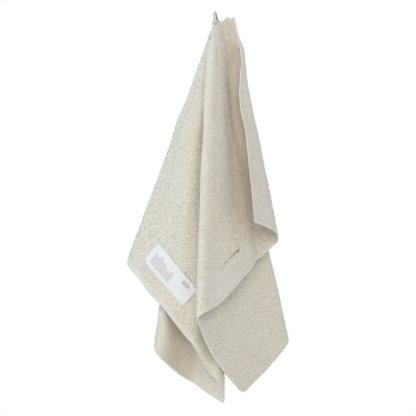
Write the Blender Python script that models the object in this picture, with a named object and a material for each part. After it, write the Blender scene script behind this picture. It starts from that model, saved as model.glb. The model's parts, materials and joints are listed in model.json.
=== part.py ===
"""A terry hand towel, 500 x 800 mm, hanging by a tape loop from the middle of one long edge.

Metres, +Z up, the front of the towel facing -Y. The origin is the point inside the top of the
loop that a hook would carry.

The cloth falls from its gathered top edge in folds. Each row of RIBS is one straight fall of
cloth, from a place on the gathered edge to a place on the rim: where the rib starts and ends on
the flat towel, where it starts and ends in space, and which way the rim heads there. Between the
rows the ribs are read from a smooth curve that uses up one unit of cloth for one unit of length,
so the folds keep the towel's own size.
"""

import math
from collections import namedtuple

import bpy
import numpy as np
from mathutils import Vector
from mathutils.bvhtree import BVHTree

MM = 0.001

# The flat towel. The loop is sewn to the middle of a long edge.
TOWEL_LENGTH = 800 * MM
TOWEL_WIDTH = 500 * MM
RIM_LENGTH = TOWEL_LENGTH + 2 * TOWEL_WIDTH
CLOTH_THICKNESS = 2.5 * MM

# Where the cloth is gathered it is pressed thinner, to full thickness this part of the way down.
GATHER_THICKNESS = 1.5 * MM
GATHER_REACH = 0.22
NECK = np.array((4, 3, -13)) * MM

# The mesh grid: ribs on each edge of the rim, and steps down a rib. A rib is worth this much turn
# of the folds, or of the ribs' own fan.
END_RIBS = 21
SIDE_RIBS = 36
RIB_STEPS = 36
RIM_SAMPLES = 400
RIM_HALVINGS = 30
TURN_PER_RIB = math.radians(20)
FAN_PER_RIB = math.radians(6)

# A rib's foot moves at least this part of a unit level with the floor for a unit of rim.
LEAST_LEVEL = 0.3

# The hanging loop: one tape, sewn down in front of and behind the front fold. Its middle line is
# in millimetres from the hook's point, from its front end over the top to its back end.
TAPE_WIDTH = 6 * MM
TAPE_THICKNESS = 1.2 * MM
TAPE_COLUMNS = 5
LOOP_STEPS = 41
LOOP_TURN = math.radians(-15)
LOOP_PATH = (
    (0.8, -12.1, -29),
    (0.7, -11.4, -22),
    (0.4, -10.7, -15.5),
    (0.1, -8.3, -9),
    (0.0, -4.6, -3.4),
    (0.3, 0.0, 0.6),
    (0.9, 3.9, -3),
    (1.8, 5.2, -8.5),
    (3.0, 4.3, -14),
    (3.0, 3.1, -19),
    (2.6, 2.6, -24),
)

# The label sewn to the front: its middle on the flat towel, and its size along and across the
# end hem beside it.
LABEL_MIDDLE = np.array((-352, 251)) * MM
LABEL_LENGTH = 112 * MM
LABEL_WIDTH = 40 * MM
LABEL_THICKNESS = 0.7 * MM
LABEL_GAP = 0.7 * MM
LABEL_GRID = (25, 9)
LABEL_SIGHT = 20 * MM

# Millimetres. rim: distance round the rim from the front corner, down the right end, along the
# bottom and up the left end. edge: place on the gathered edge, from the loop. top and foot: the
# rib's ends, from the neck. heading: which way the rim runs there, in degrees, 0 right, 90 back.
# bow: how far the rib's middle stands off a straight line.
Rib = namedtuple("Rib", "name rim edge top foot heading bow")
RIBS = (
    Rib("front corner", 0, 48, (29, -10, 3), (60, -60, -334), 62, (0, 0)),
    Rib("flap fold", 85, 41, (26, -3, 4), (100, 9, -357), 85, (0, 0)),
    Rib("inside flap", 108, 34, (22, 2, 3), (95, 21, -371), 165, (0, 0)),
    Rib("flap crest", 121, 25, (17, 3, 5), (85, 22, -381), 193, (0, 0)),
    Rib("valley", 135, 14, (9, 0, -2), (74, 18, -392), 215, (0, 0)),
    Rib("front panel right", 175, 9, (5, -4, -1), (53, -8, -415), 230, (0, 0)),
    Rib("front panel", 220, 5, (0, -8, -1), (29, -36, -440), 229, (0, 0)),
    Rib("front panel left", 262, 3, (-3, -9, -2), (2, -63, -467), 225, (-1, 0)),
    Rib("front fold", 306, 1, (-5, -8, -3), (-29, -92, -484), 160, (-5, 0)),
    Rib("behind front fold", 330, 0, (-6, -3, -3), (-27, -78, -503), 65, (-4, 0)),
    Rib("right panel", 410, -3, (-7, 1, -3), (2, -35, -566), 52, (0, -4)),
    Rib("right corner", 500, -5, (-6, 5, -4), (43, 12, -620), 46, (0, -8)),
    Rib("right panel back", 580, -7, (-2, 7, -5), (84, 50, -580), 45, (0, -6)),
    Rib("right fold", 650, -10, (4, 8, -6), (120, 80, -535), 85, (0, 0)),
    Rib("behind right fold", 680, -11, (4, 11, -7), (98, 99, -530), 175, (0, 0)),
    Rib("first back pleat", 775, -13, (2, 15, -8), (0, 105, -515), 95, (0, 0)),
    Rib("second back pleat", 890, -16, (4, 20, -10), (95, 135, -492), 92, (0, 0)),
    Rib("back panel", 995, -18, (-1, 25, -12), (-2, 142, -502), 205, (0, 0)),
    Rib("left fold", 1150, -20, (-6, 18, -13), (-101, 19, -548), 290, (-5, 0)),
    Rib("left panel", 1234, -21, (-4, 14, -13), (-38, 35, -605), 340, (0, 0)),
    Rib("left corner", 1300, -23, (-2, 12, -13), (10, -8, -632), 330, (0, 0)),
    Rib("corner fold", 1320, -23, (-3, 9, -13), (8, -20, -614), 230, (0, 0)),
    Rib("label panel foot", 1360, -24, (-6, 9, -13), (-6, -23, -587), 185, (0, 0)),
    Rib("label panel", 1440, -26, (-8, 12, -14), (-44, -27, -529), 165, (0, -5)),
    Rib("label panel left", 1510, -28, (-9, 15, -15), (-84, -12, -481), 150, (0, -5)),
    Rib("far left", 1580, -30, (-9, 18, -16), (-126, 18, -433), 130, (1, 0)),
    Rib("far left fold", 1635, -32, (-10, 22, -17), (-149, 58, -399), 80, (1, 0)),
    Rib("behind far left", 1720, -35, (-6, 29, -19), (-82, 112, -378), 20, (0, 0)),
    Rib("back corner", 1800, -38, (4, 32, -20), (-10, 140, -362), 15, (0, 0)),
)

# Soft ridges (height above 0) and troughs: the two ends on the flat towel, the width, the height.
Crease = namedtuple("Crease", "name start end width height")
CREASES = (
    Crease("flap edge out", (104, 0), (126, 0), 16, -5),
    Crease("flap edge in", (185, 0), (205, 0), 24, 4),
    Crease("label panel ridge", (-205, 130), (-330, 268), 26, 4),
)


def flat_rim(rim):
    """The place on the flat towel, in metres, of a distance round the rim."""
    half = TOWEL_LENGTH / 2
    if rim <= TOWEL_WIDTH:
        return np.array((half, rim))
    if rim <= TOWEL_WIDTH + TOWEL_LENGTH:
        return np.array((half + TOWEL_WIDTH - rim, TOWEL_WIDTH))
    return np.array((-half, RIM_LENGTH - rim))


def curve_through(knots, points, slopes, places):
    """Values at places of the smooth curve that has these points and slopes at its knots."""
    index = np.clip(np.searchsorted(knots, places, side="right") - 1, 0, len(knots) - 2)
    run = (knots[index + 1] - knots[index])[:, None]
    part = (places - knots[index])[:, None] / run
    first = 2 * part**3 - 3 * part**2 + 1
    second = 3 * part**2 - 2 * part**3
    leave = (part**3 - 2 * part**2 + part) * run
    arrive = (part**3 - part**2) * run
    return (
        first * points[index]
        + second * points[index + 1]
        + leave * slopes[index]
        + arrive * slopes[index + 1]
    )


class Drape:
    """The hanging cloth's middle surface, from the rows of RIBS."""

    def __init__(self):
        self.rims = np.array([rib.rim for rib in RIBS]) * MM
        self.edges = np.array([rib.edge for rib in RIBS]) * MM
        self.tops = np.array([rib.top for rib in RIBS]) * MM
        self.bows = np.array([(*rib.bow, 0) for rib in RIBS]) * MM
        feet = np.array([rib.foot for rib in RIBS]) * MM
        angles, lengths = self.flat_fall(self.rims, self.edges)
        self.angles = angles
        self.reach = (feet - self.tops) / lengths[:, None]
        self.reach_slopes = np.gradient(self.reach, angles, axis=0)
        for slope, rib in zip(self.reach_slopes, RIBS):
            level = math.sqrt(max(1 - slope[2] ** 2, LEAST_LEVEL**2))
            heading = math.radians(rib.heading)
            slope[:2] = level * math.cos(heading), level * math.sin(heading)
        self.top_slopes = np.gradient(self.tops, angles, axis=0)
        self.bow_slopes = np.gradient(self.bows, angles, axis=0)

    @staticmethod
    def flat_fall(rims, edges):
        """Each rib's direction, in radians, and length on the flat towel."""
        ends = np.array([flat_rim(rim) for rim in rims])
        run = ends - np.column_stack((edges, np.zeros(len(edges))))
        return np.arctan2(run[:, 1], run[:, 0]), np.hypot(run[:, 0], run[:, 1])

    def ribs_at(self, rims):
        """Top, fall, bow and flat ends of the ribs that reach the rim at these places."""
        edges = np.interp(rims, self.rims, self.edges)
        angles, lengths = self.flat_fall(rims, edges)
        tops = curve_through(self.angles, self.tops, self.top_slopes, angles)
        reach = curve_through(self.angles, self.reach, self.reach_slopes, angles)
        bows = curve_through(self.angles, self.bows, self.bow_slopes, angles)
        ends = np.array([flat_rim(rim) for rim in rims])
        return tops, reach * lengths[:, None], bows, edges, ends

    def grid(self, rims, steps):
        """Points in space and on the flat towel, one row for each step down the ribs."""
        tops, falls, bows, edges, ends = self.ribs_at(rims)
        starts = np.column_stack((edges, np.zeros(len(edges))))
        part = np.linspace(0, 1, steps)[:, None, None]
        points = tops + part * falls + 4 * part * (1 - part) * bows
        return points, starts + part * (ends - starts)

    def at_flat(self, flat):
        """Points in space above places on the flat towel, found by halving the rim between them."""
        low = np.zeros(len(flat))
        high = np.full(len(flat), RIM_LENGTH)
        for _ in range(RIM_HALVINGS):
            middle = (low + high) / 2
            tops, falls, bows, edges, ends = self.ribs_at(middle)
            starts = np.column_stack((edges, np.zeros(len(edges))))
            run, away = ends - starts, flat - starts
            beyond = run[:, 0] * away[:, 1] > run[:, 1] * away[:, 0]
            low, high = np.where(beyond, middle, low), np.where(beyond, high, middle)
        part = (np.linalg.norm(away, axis=1) / np.linalg.norm(run, axis=1))[:, None]
        return tops + part * falls + 4 * part * (1 - part) * bows


def spread_ribs(drape, start, stop, count):
    """Places round the rim from start to stop, closer together where the cloth turns."""
    fine = np.linspace(start, stop, RIM_SAMPLES)
    edges = np.interp(fine, drape.rims, drape.edges)
    angles, _ = drape.flat_fall(fine, edges)
    reach = curve_through(drape.angles, drape.reach, drape.reach_slopes, angles)
    heading = np.unwrap(np.arctan2(*np.gradient(reach[:, :2], axis=0).T[::-1]))
    turn, fan = np.abs(np.gradient(heading)), np.abs(np.gradient(angles))
    cost = turn / TURN_PER_RIB + fan / FAN_PER_RIB
    total = np.concatenate(((0,), np.cumsum((cost[1:] + cost[:-1]) / 2)))
    return np.interp(np.linspace(0, total[-1], count), total, fine)


def crease_heights(flat):
    """How far the creases lift each flat place along the cloth's normal."""
    height = np.zeros(flat.shape[:-1])
    for crease in CREASES:
        start = np.array(crease.start) * MM
        along = np.array(crease.end) * MM - start
        part = np.clip(((flat - start) @ along) / (along @ along), 0, 1)
        away = np.linalg.norm(flat - start - part[..., None] * along, axis=-1)
        height += crease.height * MM * np.exp(-((away / (crease.width * MM)) ** 2))
    return height


def normals_of(points):
    """The surface's unit normals at a grid's points, on the side that faces out in front."""
    across = np.gradient(points, axis=1)
    down = np.gradient(points, axis=0)
    normals = np.cross(across, down)
    return normals / np.linalg.norm(normals, axis=-1, keepdims=True)


def sheet_mesh(name, points):
    """A mesh of quads over a grid of points, shaded smooth."""
    rows, columns = points.shape[:2]
    faces = [
        (i * columns + j, (i + 1) * columns + j, (i + 1) * columns + j + 1, i * columns + j + 1)
        for i in range(rows - 1)
        for j in range(columns - 1)
    ]
    mesh = bpy.data.meshes.new(name)
    mesh.from_pydata(points.reshape(-1, 3).tolist(), [], faces)
    mesh.shade_smooth()
    return mesh


def add_object(name, mesh, material):
    """Links a mesh into the scene as the object of this name."""
    thing = bpy.data.objects.new(name, mesh)
    thing.data.materials.append(material)
    bpy.context.scene.collection.objects.link(thing)
    return thing


def add_thickness(thing, thickness):
    """Gives a sheet its thickness, half to each side."""
    solid = thing.modifiers.new("thickness", "SOLIDIFY")
    solid.thickness = thickness
    solid.offset = 0
    solid.use_quality_normals = True
    return solid


def make_material(name, colour, roughness):
    """A plain cloth finish."""
    material = bpy.data.materials.new(name)
    material.use_nodes = True
    shader = material.node_tree.nodes["Principled BSDF"]
    shader.inputs["Base Color"].default_value = (*colour, 1)
    shader.inputs["Roughness"].default_value = roughness
    shader.inputs["Metallic"].default_value = 0
    return material


def add_towel(drape, terry):
    """The cloth: one sheet from corner to corner, thinner where it is gathered."""
    corners = (0, TOWEL_WIDTH, TOWEL_WIDTH + TOWEL_LENGTH, RIM_LENGTH)
    counts = (END_RIBS, SIDE_RIBS, END_RIBS)
    runs = [spread_ribs(drape, *corners[i : i + 2], count) for i, count in enumerate(counts)]
    rims = np.concatenate((runs[0], runs[1][1:], runs[2][1:]))
    points, flat = drape.grid(rims, RIB_STEPS)
    points += normals_of(points) * crease_heights(flat)[..., None] + NECK
    towel = add_object("towel", sheet_mesh("towel", points), terry)
    group = towel.vertex_groups.new(name="fullness")
    for i in range(RIB_STEPS):
        fullness = min(1, i / (RIB_STEPS - 1) / GATHER_REACH)
        group.add(range(i * len(rims), (i + 1) * len(rims)), fullness, "REPLACE")
    solid = add_thickness(towel, CLOTH_THICKNESS)
    solid.vertex_group = group.name
    solid.thickness_vertex_group = GATHER_THICKNESS / CLOTH_THICKNESS
    return towel


def add_loop(tape):
    """The hanging loop: a flat tape bent over the point where a hook carries it."""
    knots = np.arange(len(LOOP_PATH), dtype=float)
    path = np.array(LOOP_PATH) * MM
    slopes = np.gradient(path, axis=0)
    line = curve_through(knots, path, slopes, np.linspace(0, knots[-1], LOOP_STEPS))
    width_way = np.array((math.cos(LOOP_TURN), math.sin(LOOP_TURN), 0))
    across = np.linspace(-TAPE_WIDTH / 2, TAPE_WIDTH / 2, TAPE_COLUMNS)
    points = line[:, None] + across[None, :, None] * width_way
    loop = add_object("hanging_loop", sheet_mesh("hanging_loop", points), tape)
    add_thickness(loop, TAPE_THICKNESS)


def add_label(drape, towel, woven):
    """The label: a thin patch that follows the towel's front face, a little off it."""
    along, across = LABEL_GRID
    v, u = np.meshgrid(
        np.linspace(-LABEL_LENGTH / 2, LABEL_LENGTH / 2, along),
        np.linspace(-LABEL_WIDTH / 2, LABEL_WIDTH / 2, across),
        indexing="ij",
    )
    flat = np.column_stack((u.ravel(), v.ravel())) + LABEL_MIDDLE
    points = drape.at_flat(flat).reshape(along, across, 3) + NECK
    normals = normals_of(points[:, ::-1])[:, ::-1]
    bpy.context.view_layer.update()
    surface = BVHTree.FromObject(towel, bpy.context.evaluated_depsgraph_get())
    for point, normal in zip(points.reshape(-1, 3), normals.reshape(-1, 3)):
        hit, _, _, _ = surface.ray_cast(Vector(point + normal * LABEL_SIGHT), Vector(-normal))
        point[:] = hit + Vector(normal) * (LABEL_GAP + LABEL_THICKNESS / 2)
    label = add_object("label_patch", sheet_mesh("label_patch", points), woven)
    add_thickness(label, LABEL_THICKNESS)


def main():
    """Clears the scene and builds the three pieces."""
    for thing in list(bpy.data.objects):
        bpy.data.objects.remove(thing)
    drape = Drape()
    towel = add_towel(drape, make_material("cream terry", (0.70, 0.67, 0.59), 0.95))
    add_loop(make_material("cream tape", (0.74, 0.71, 0.63), 0.85))
    add_label(drape, towel, make_material("white woven label", (0.84, 0.84, 0.85), 0.7))


main()
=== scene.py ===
"""The looks of a cream terry hand towel that hangs in folds from a sewn tape loop.

Metres, +Z up, the front of the towel facing -Y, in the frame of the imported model. The cloth lies
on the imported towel's own folds: each row of RIBS is one straight fall of cloth, and the surface
between the rows uses up one unit of cloth for one unit of length. Over that surface come the
hems, the flat woven borders, the stitches and a pile of small yarn loops.
"""

from __future__ import annotations

import json
import logging
import math
from dataclasses import dataclass, field
from enum import Enum

import bpy
import numpy as np
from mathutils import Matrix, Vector

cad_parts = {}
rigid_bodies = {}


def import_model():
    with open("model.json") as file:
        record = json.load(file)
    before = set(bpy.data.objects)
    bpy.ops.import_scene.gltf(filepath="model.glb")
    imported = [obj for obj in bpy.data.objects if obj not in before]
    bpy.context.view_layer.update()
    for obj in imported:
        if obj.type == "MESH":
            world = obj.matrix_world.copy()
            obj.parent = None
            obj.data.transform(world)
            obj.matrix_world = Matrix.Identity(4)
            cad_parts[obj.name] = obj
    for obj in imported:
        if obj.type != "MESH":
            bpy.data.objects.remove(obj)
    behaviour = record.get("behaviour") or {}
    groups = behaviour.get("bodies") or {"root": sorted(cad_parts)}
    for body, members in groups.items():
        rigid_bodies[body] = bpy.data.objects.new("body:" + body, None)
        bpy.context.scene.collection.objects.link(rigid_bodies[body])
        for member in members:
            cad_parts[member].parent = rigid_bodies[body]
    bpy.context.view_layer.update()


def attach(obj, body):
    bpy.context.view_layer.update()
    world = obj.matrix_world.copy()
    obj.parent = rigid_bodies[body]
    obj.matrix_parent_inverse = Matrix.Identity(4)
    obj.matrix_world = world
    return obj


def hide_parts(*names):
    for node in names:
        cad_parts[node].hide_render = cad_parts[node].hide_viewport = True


LOG = logging.getLogger("hand towel")
MM = 0.001
BODY = "root"
NOISE_CELLS = 256
YARN_SIDES = 3

# The columns of a table of stitches, and the part of CLOTH that is the place on the flat towel.
POINT, NORMAL, CLOTH, WAY = slice(0, 3), slice(3, 6), slice(6, 9), slice(9, 12)
FLAT = slice(6, 8)

# Blender's places for inputs that share a name: Mix's factor and colours, and Random Value's
# smallest and largest number and seed.
MIX_SOCKETS = (0, 6, 7)
RANDOM_SOCKETS = (2, 3, 8)
LEAST_LENGTH = 1e-12


@dataclass(frozen=True)
class Rib:
    """One straight fall of cloth, in millimetres and degrees.

    rim is the distance round the rim from the front corner, edge the place on the gathered edge
    from the loop, top and foot the rib's ends from the neck, heading the way the rim runs at its
    foot (0 right, 90 back), and bow how far the rib's middle stands off a straight line.
    """

    name: str
    rim: float
    edge: float
    top: tuple[float, float, float]
    foot: tuple[float, float, float]
    heading: float
    bow: tuple[float, float]


RIBS = (
    Rib("front corner", 0, 48, (29, -10, 3), (60, -60, -334), 62, (0, 0)),
    Rib("flap fold", 85, 41, (26, -3, 4), (100, 9, -357), 85, (0, 0)),
    Rib("inside flap", 108, 34, (22, 2, 3), (95, 21, -371), 165, (0, 0)),
    Rib("flap crest", 121, 25, (17, 3, 5), (85, 22, -381), 193, (0, 0)),
    Rib("valley", 135, 14, (9, 0, -2), (74, 18, -392), 215, (0, 0)),
    Rib("front panel right", 175, 9, (5, -4, -1), (53, -8, -415), 230, (0, 0)),
    Rib("front panel", 220, 5, (0, -8, -1), (29, -36, -440), 229, (0, 0)),
    Rib("front panel left", 262, 3, (-3, -9, -2), (2, -63, -467), 225, (-1, 0)),
    Rib("front fold", 306, 1, (-5, -8, -3), (-29, -92, -484), 160, (-5, 0)),
    Rib("behind front fold", 330, 0, (-6, -3, -3), (-27, -78, -503), 65, (-4, 0)),
    Rib("right panel", 410, -3, (-7, 1, -3), (2, -35, -566), 52, (0, -4)),
    Rib("right corner", 500, -5, (-6, 5, -4), (43, 12, -620), 46, (0, -8)),
    Rib("right panel back", 580, -7, (-2, 7, -5), (84, 50, -580), 45, (0, -6)),
    Rib("right fold", 650, -10, (4, 8, -6), (120, 80, -535), 85, (0, 0)),
    Rib("behind right fold", 680, -11, (4, 11, -7), (98, 99, -530), 175, (0, 0)),
    Rib("first back pleat", 775, -13, (2, 15, -8), (0, 105, -515), 95, (0, 0)),
    Rib("second back pleat", 890, -16, (4, 20, -10), (95, 135, -492), 92, (0, 0)),
    Rib("back panel", 995, -18, (-1, 25, -12), (-2, 142, -502), 205, (0, 0)),
    Rib("left fold", 1150, -20, (-6, 18, -13), (-101, 19, -548), 290, (-5, 0)),
    Rib("left panel", 1234, -21, (-4, 14, -13), (-38, 35, -605), 340, (0, 0)),
    Rib("left corner", 1300, -23, (-2, 12, -13), (10, -8, -632), 330, (0, 0)),
    Rib("corner fold", 1320, -23, (-3, 9, -13), (8, -20, -614), 230, (0, 0)),
    Rib("label panel foot", 1360, -24, (-6, 9, -13), (-6, -23, -587), 185, (0, 0)),
    Rib("label panel", 1440, -26, (-8, 12, -14), (-44, -27, -529), 165, (0, -5)),
    Rib("label panel left", 1510, -28, (-9, 15, -15), (-84, -12, -481), 150, (0, -5)),
    Rib("far left", 1580, -30, (-9, 18, -16), (-126, 18, -433), 130, (1, 0)),
    Rib("far left fold", 1635, -32, (-10, 22, -17), (-149, 58, -399), 80, (1, 0)),
    Rib("behind far left", 1720, -35, (-6, 29, -19), (-82, 112, -378), 20, (0, 0)),
    Rib("back corner", 1800, -38, (4, 32, -20), (-10, 140, -362), 15, (0, 0)),
)


@dataclass(frozen=True)
class Crease:
    """A soft ridge, or a trough where its height is below 0, in millimetres on the flat towel.

    line holds the places that it runs through. Heights are towards the coarse face.
    """

    name: str
    line: tuple[tuple[float, float], ...]
    width: float
    height: float

    def away(self, flat: np.ndarray) -> np.ndarray:
        """How far, in metres, each flat place lies from the line.

        Args:
            flat: Flat places, in metres, as an array whose last axis is (u, v).

        Returns:
            The distances, without that axis.
        """
        nearest = np.full(flat.shape[:-1], np.inf)
        for first, last in zip(self.line, self.line[1:]):
            start = np.array(first) * MM
            along = np.array(last) * MM - start
            part = np.clip(((flat - start) @ along) / (along @ along), 0, 1)
            gap = np.linalg.norm(flat - start - part[..., None] * along, axis=-1)
            nearest = np.minimum(nearest, gap)
        return nearest


CREASES = (
    Crease("flap edge out", ((104, 0), (126, 0)), 16, -5),
    Crease("flap edge in", ((185, 0), (205, 0)), 24, 4),
    Crease("label panel ridge", ((-165, 80), (-245, 165), (-325, 262)), 20, 5),
    Crease("label panel trough", ((-58, 47), (-175, 147), (-232, 204), (-278, 267)), 12, -5),
    Crease("dip by the front fold", ((-42, 25), (-80, 46), (-104, 64)), 7, -5),
    Crease("front panel crest", ((46, 33), (181, 121), (270, 178)), 19, 5),
    Crease("valley floor", ((92, 22), (210, 92), (290, 135)), 14, -4),
    Crease("left panel edge", ((-228, 432), (-262, 470)), 13, -4),
    Crease("left panel trough", ((-295, 470), (-314, 486), (-332, 508)), 20, 8),
    Crease("border lip", ((354, 181), (354, 215)), 3.2, -4),
)
# The line of the dark mark along the border's open edge: painted shadow in the crease there.
SLIT_SHADOW = Crease("open edge of the border", ((354, 176), (354, 222)), 2.1, 0)


class Face(Enum):
    """The towel's two faces, and which way each lies from the middle of the cloth."""

    COARSE = 1
    FINE = -1


def smooth_step(value: np.ndarray, low: float, high: float) -> np.ndarray:
    """Rises smoothly from 0 where the value is low to 1 where it is high."""
    part = np.clip((value - low) / (high - low), 0, 1)
    return part * part * (3 - 2 * part)


def soft_noise(places: np.ndarray, size: float, seed: int) -> np.ndarray:
    """Smooth noise from -1 to 1 over the flat towel.

    Args:
        places: Flat places, in metres, as an array whose last axis is (u, v).
        size: The width of a bump, in metres.
        seed: Which pattern it is.

    Returns:
        The noise at each place.
    """
    table = np.random.default_rng(seed).uniform(-1, 1, (NOISE_CELLS, NOISE_CELLS))
    cell = places / size
    low = np.floor(cell).astype(int)
    part = smooth_step(cell - low, 0, 1)
    total = np.zeros(places.shape[:-1])
    for i, along in enumerate((1 - part[..., 0], part[..., 0])):
        for j, across in enumerate((1 - part[..., 1], part[..., 1])):
            near = (low + (i, j)) % NOISE_CELLS
            total += table[near[..., 0], near[..., 1]] * along * across
    return total


def curve_through(
    knots: np.ndarray, points: np.ndarray, slopes: np.ndarray, places: np.ndarray
) -> np.ndarray:
    """Reads the smooth curve that has these points and slopes at its knots.

    Args:
        knots: Where the points lie along the curve, rising.
        points: One row for each knot.
        slopes: The change in the point for each unit along the curve.
        places: Where to read it.

    Returns:
        One row for each place.
    """
    index = np.clip(np.searchsorted(knots, places, side="right") - 1, 0, len(knots) - 2)
    run = (knots[index + 1] - knots[index])[:, None]
    part = (places - knots[index])[:, None] / run
    first = 2 * part**3 - 3 * part**2 + 1
    second = 3 * part**2 - 2 * part**3
    leave = (part**3 - 2 * part**2 + part) * run
    arrive = (part**3 - part**2) * run
    return (
        first * points[index]
        + second * points[index + 1]
        + leave * slopes[index]
        + arrive * slopes[index + 1]
    )


def unit(vectors: np.ndarray) -> np.ndarray:
    """The same directions at length 1."""
    lengths = np.linalg.norm(vectors, axis=-1, keepdims=True)
    return vectors / np.maximum(lengths, LEAST_LENGTH)


def surface_normals(points: np.ndarray) -> np.ndarray:
    """Unit normals at a grid's points: the way along its rows crossed with the way down."""
    return unit(np.cross(np.gradient(points, axis=1), np.gradient(points, axis=0)))


def run_along(line: np.ndarray) -> np.ndarray:
    """How far along a line each of its points lies."""
    return np.concatenate(((0,), np.cumsum(np.linalg.norm(np.diff(line, axis=0), axis=1))))


def spaced_rows(table: np.ndarray, spacing: float) -> np.ndarray:
    """Reads the rows of a seam at even steps along it.

    Args:
        table: A row for each point of the seam: the columns of a table of stitches but the way.
        spacing: How far apart the steps are, in metres.

    Returns:
        A table of stitches.
    """
    run = run_along(table[:, POINT])
    rows = np.hstack((table, np.gradient(table[:, POINT], axis=0)))
    places = np.arange(spacing / 2, run[-1], spacing)
    return np.column_stack([np.interp(places, run, column) for column in rows.T])


def feed(tree: bpy.types.NodeTree, socket: bpy.types.NodeSocket, value: object) -> None:
    """Links another node's output to an input, or sets its value, or leaves it at None.

    Args:
        tree: The tree that holds them.
        socket: The input.
        value: The other node's output, or a value, or None.
    """
    if isinstance(value, bpy.types.NodeSocket):
        tree.links.new(value, socket)
    elif value is not None:
        socket.default_value = value


@dataclass
class Drape:
    """The hanging cloth's middle surface, read from RIBS and CREASES."""

    length: float = 800 * MM
    width: float = 500 * MM
    neck: tuple[float, float, float] = (4 * MM, 3 * MM, -13 * MM)
    least_level: float = 0.3
    turn_per_rib: float = math.radians(4)
    fan_per_rib: float = math.radians(1.2)
    reach_per_rib: float = 5.5 * MM

    def __post_init__(self) -> None:
        """Works out each rib's reach for a unit of cloth, and the slopes between them."""
        self.rim_length = self.length + 2 * self.width
        self.rims = np.array([rib.rim for rib in RIBS]) * MM
        self.edges = np.array([rib.edge for rib in RIBS]) * MM
        self.tops = np.array([rib.top for rib in RIBS]) * MM
        self.bows = np.array([(*rib.bow, 0) for rib in RIBS]) * MM
        feet = np.array([rib.foot for rib in RIBS]) * MM
        self.angles, lengths = self.flat_fall(self.rims, self.edges)
        self.reach = (feet - self.tops) / lengths[:, None]
        self.reach_slopes = np.gradient(self.reach, self.angles, axis=0)
        for slope, rib in zip(self.reach_slopes, RIBS):
            level = math.sqrt(max(1 - slope[2] ** 2, self.least_level**2))
            heading = math.radians(rib.heading)
            slope[:2] = level * math.cos(heading), level * math.sin(heading)
        self.top_slopes = np.gradient(self.tops, self.angles, axis=0)
        self.bow_slopes = np.gradient(self.bows, self.angles, axis=0)

    def flat_rim(self, rims: np.ndarray) -> np.ndarray:
        """The places on the flat towel of these distances round the rim.

        Args:
            rims: Distances from the front corner, in metres.

        Returns:
            A row of (u, v) for each.
        """
        half = self.length / 2
        right = np.column_stack((np.full(len(rims), half), rims))
        low = np.column_stack((half + self.width - rims, np.full(len(rims), self.width)))
        left = np.column_stack((np.full(len(rims), -half), self.rim_length - rims))
        on_right = (rims <= self.width)[:, None]
        on_low = (rims <= self.width + self.length)[:, None]
        return np.where(on_right, right, np.where(on_low, low, left))

    def flat_fall(self, rims: np.ndarray, edges: np.ndarray) -> tuple[np.ndarray, np.ndarray]:
        """Each rib's direction, in radians, and its length on the flat towel."""
        run = self.flat_rim(rims) - np.column_stack((edges, np.zeros(len(edges))))
        return np.arctan2(run[:, 1], run[:, 0]), np.hypot(run[:, 0], run[:, 1])

    def spread_ribs(self, count: int, samples: int = 4000) -> np.ndarray:
        """Places round the rim for the mesh's columns.

        Args:
            count: How many columns there are.
            samples: How finely the rim is measured.

        Returns:
            The places, closer together where the cloth turns or its ribs fan out.
        """
        fine = np.linspace(0, self.rim_length, samples)
        angles, _ = self.flat_fall(fine, np.interp(fine, self.rims, self.edges))
        reach = curve_through(self.angles, self.reach, self.reach_slopes, angles)
        heading = np.unwrap(np.arctan2(*np.gradient(reach[:, :2], axis=0).T[::-1]))
        cost = np.abs(np.gradient(heading)) / self.turn_per_rib
        cost += np.abs(np.gradient(angles)) / self.fan_per_rib
        cost += np.gradient(fine) / self.reach_per_rib
        total = np.concatenate(((0,), np.cumsum((cost[1:] + cost[:-1]) / 2)))
        rims = np.interp(np.linspace(0, total[-1], count), total, fine)
        for corner in (self.width, self.width + self.length):
            rims[np.argmin(np.abs(rims - corner))] = corner
        return rims

    def grid(self, rims: np.ndarray, part: np.ndarray) -> tuple[np.ndarray, np.ndarray]:
        """Points of the middle surface without its creases.

        Args:
            rims: Where each rib meets the rim.
            part: How far down its rib each point lies, 0 to 1, as rows by ribs.

        Returns:
            The points in space and on the flat towel, as rows by ribs.
        """
        edges = np.interp(rims, self.rims, self.edges)
        angles, lengths = self.flat_fall(rims, edges)
        tops = curve_through(self.angles, self.tops, self.top_slopes, angles)
        falls = curve_through(self.angles, self.reach, self.reach_slopes, angles)
        bows = curve_through(self.angles, self.bows, self.bow_slopes, angles)
        starts = np.column_stack((edges, np.zeros(len(edges))))
        part = part[..., None]
        points = tops + part * falls * lengths[:, None] + 4 * part * (1 - part) * bows
        return points + self.neck, starts + part * (self.flat_rim(rims) - starts)

    def crease_heights(self, flat: np.ndarray) -> np.ndarray:
        """How far the creases lift each flat place along the cloth's normal.

        Args:
            flat: Flat places, in metres, as an array whose last axis is (u, v).

        Returns:
            The lifts, in metres, without that axis.
        """
        height = np.zeros(flat.shape[:-1])
        for crease in CREASES:
            part = crease.away(flat) / (crease.width * MM)
            height += crease.height * MM * np.exp(-(part**2))
        return height


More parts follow.
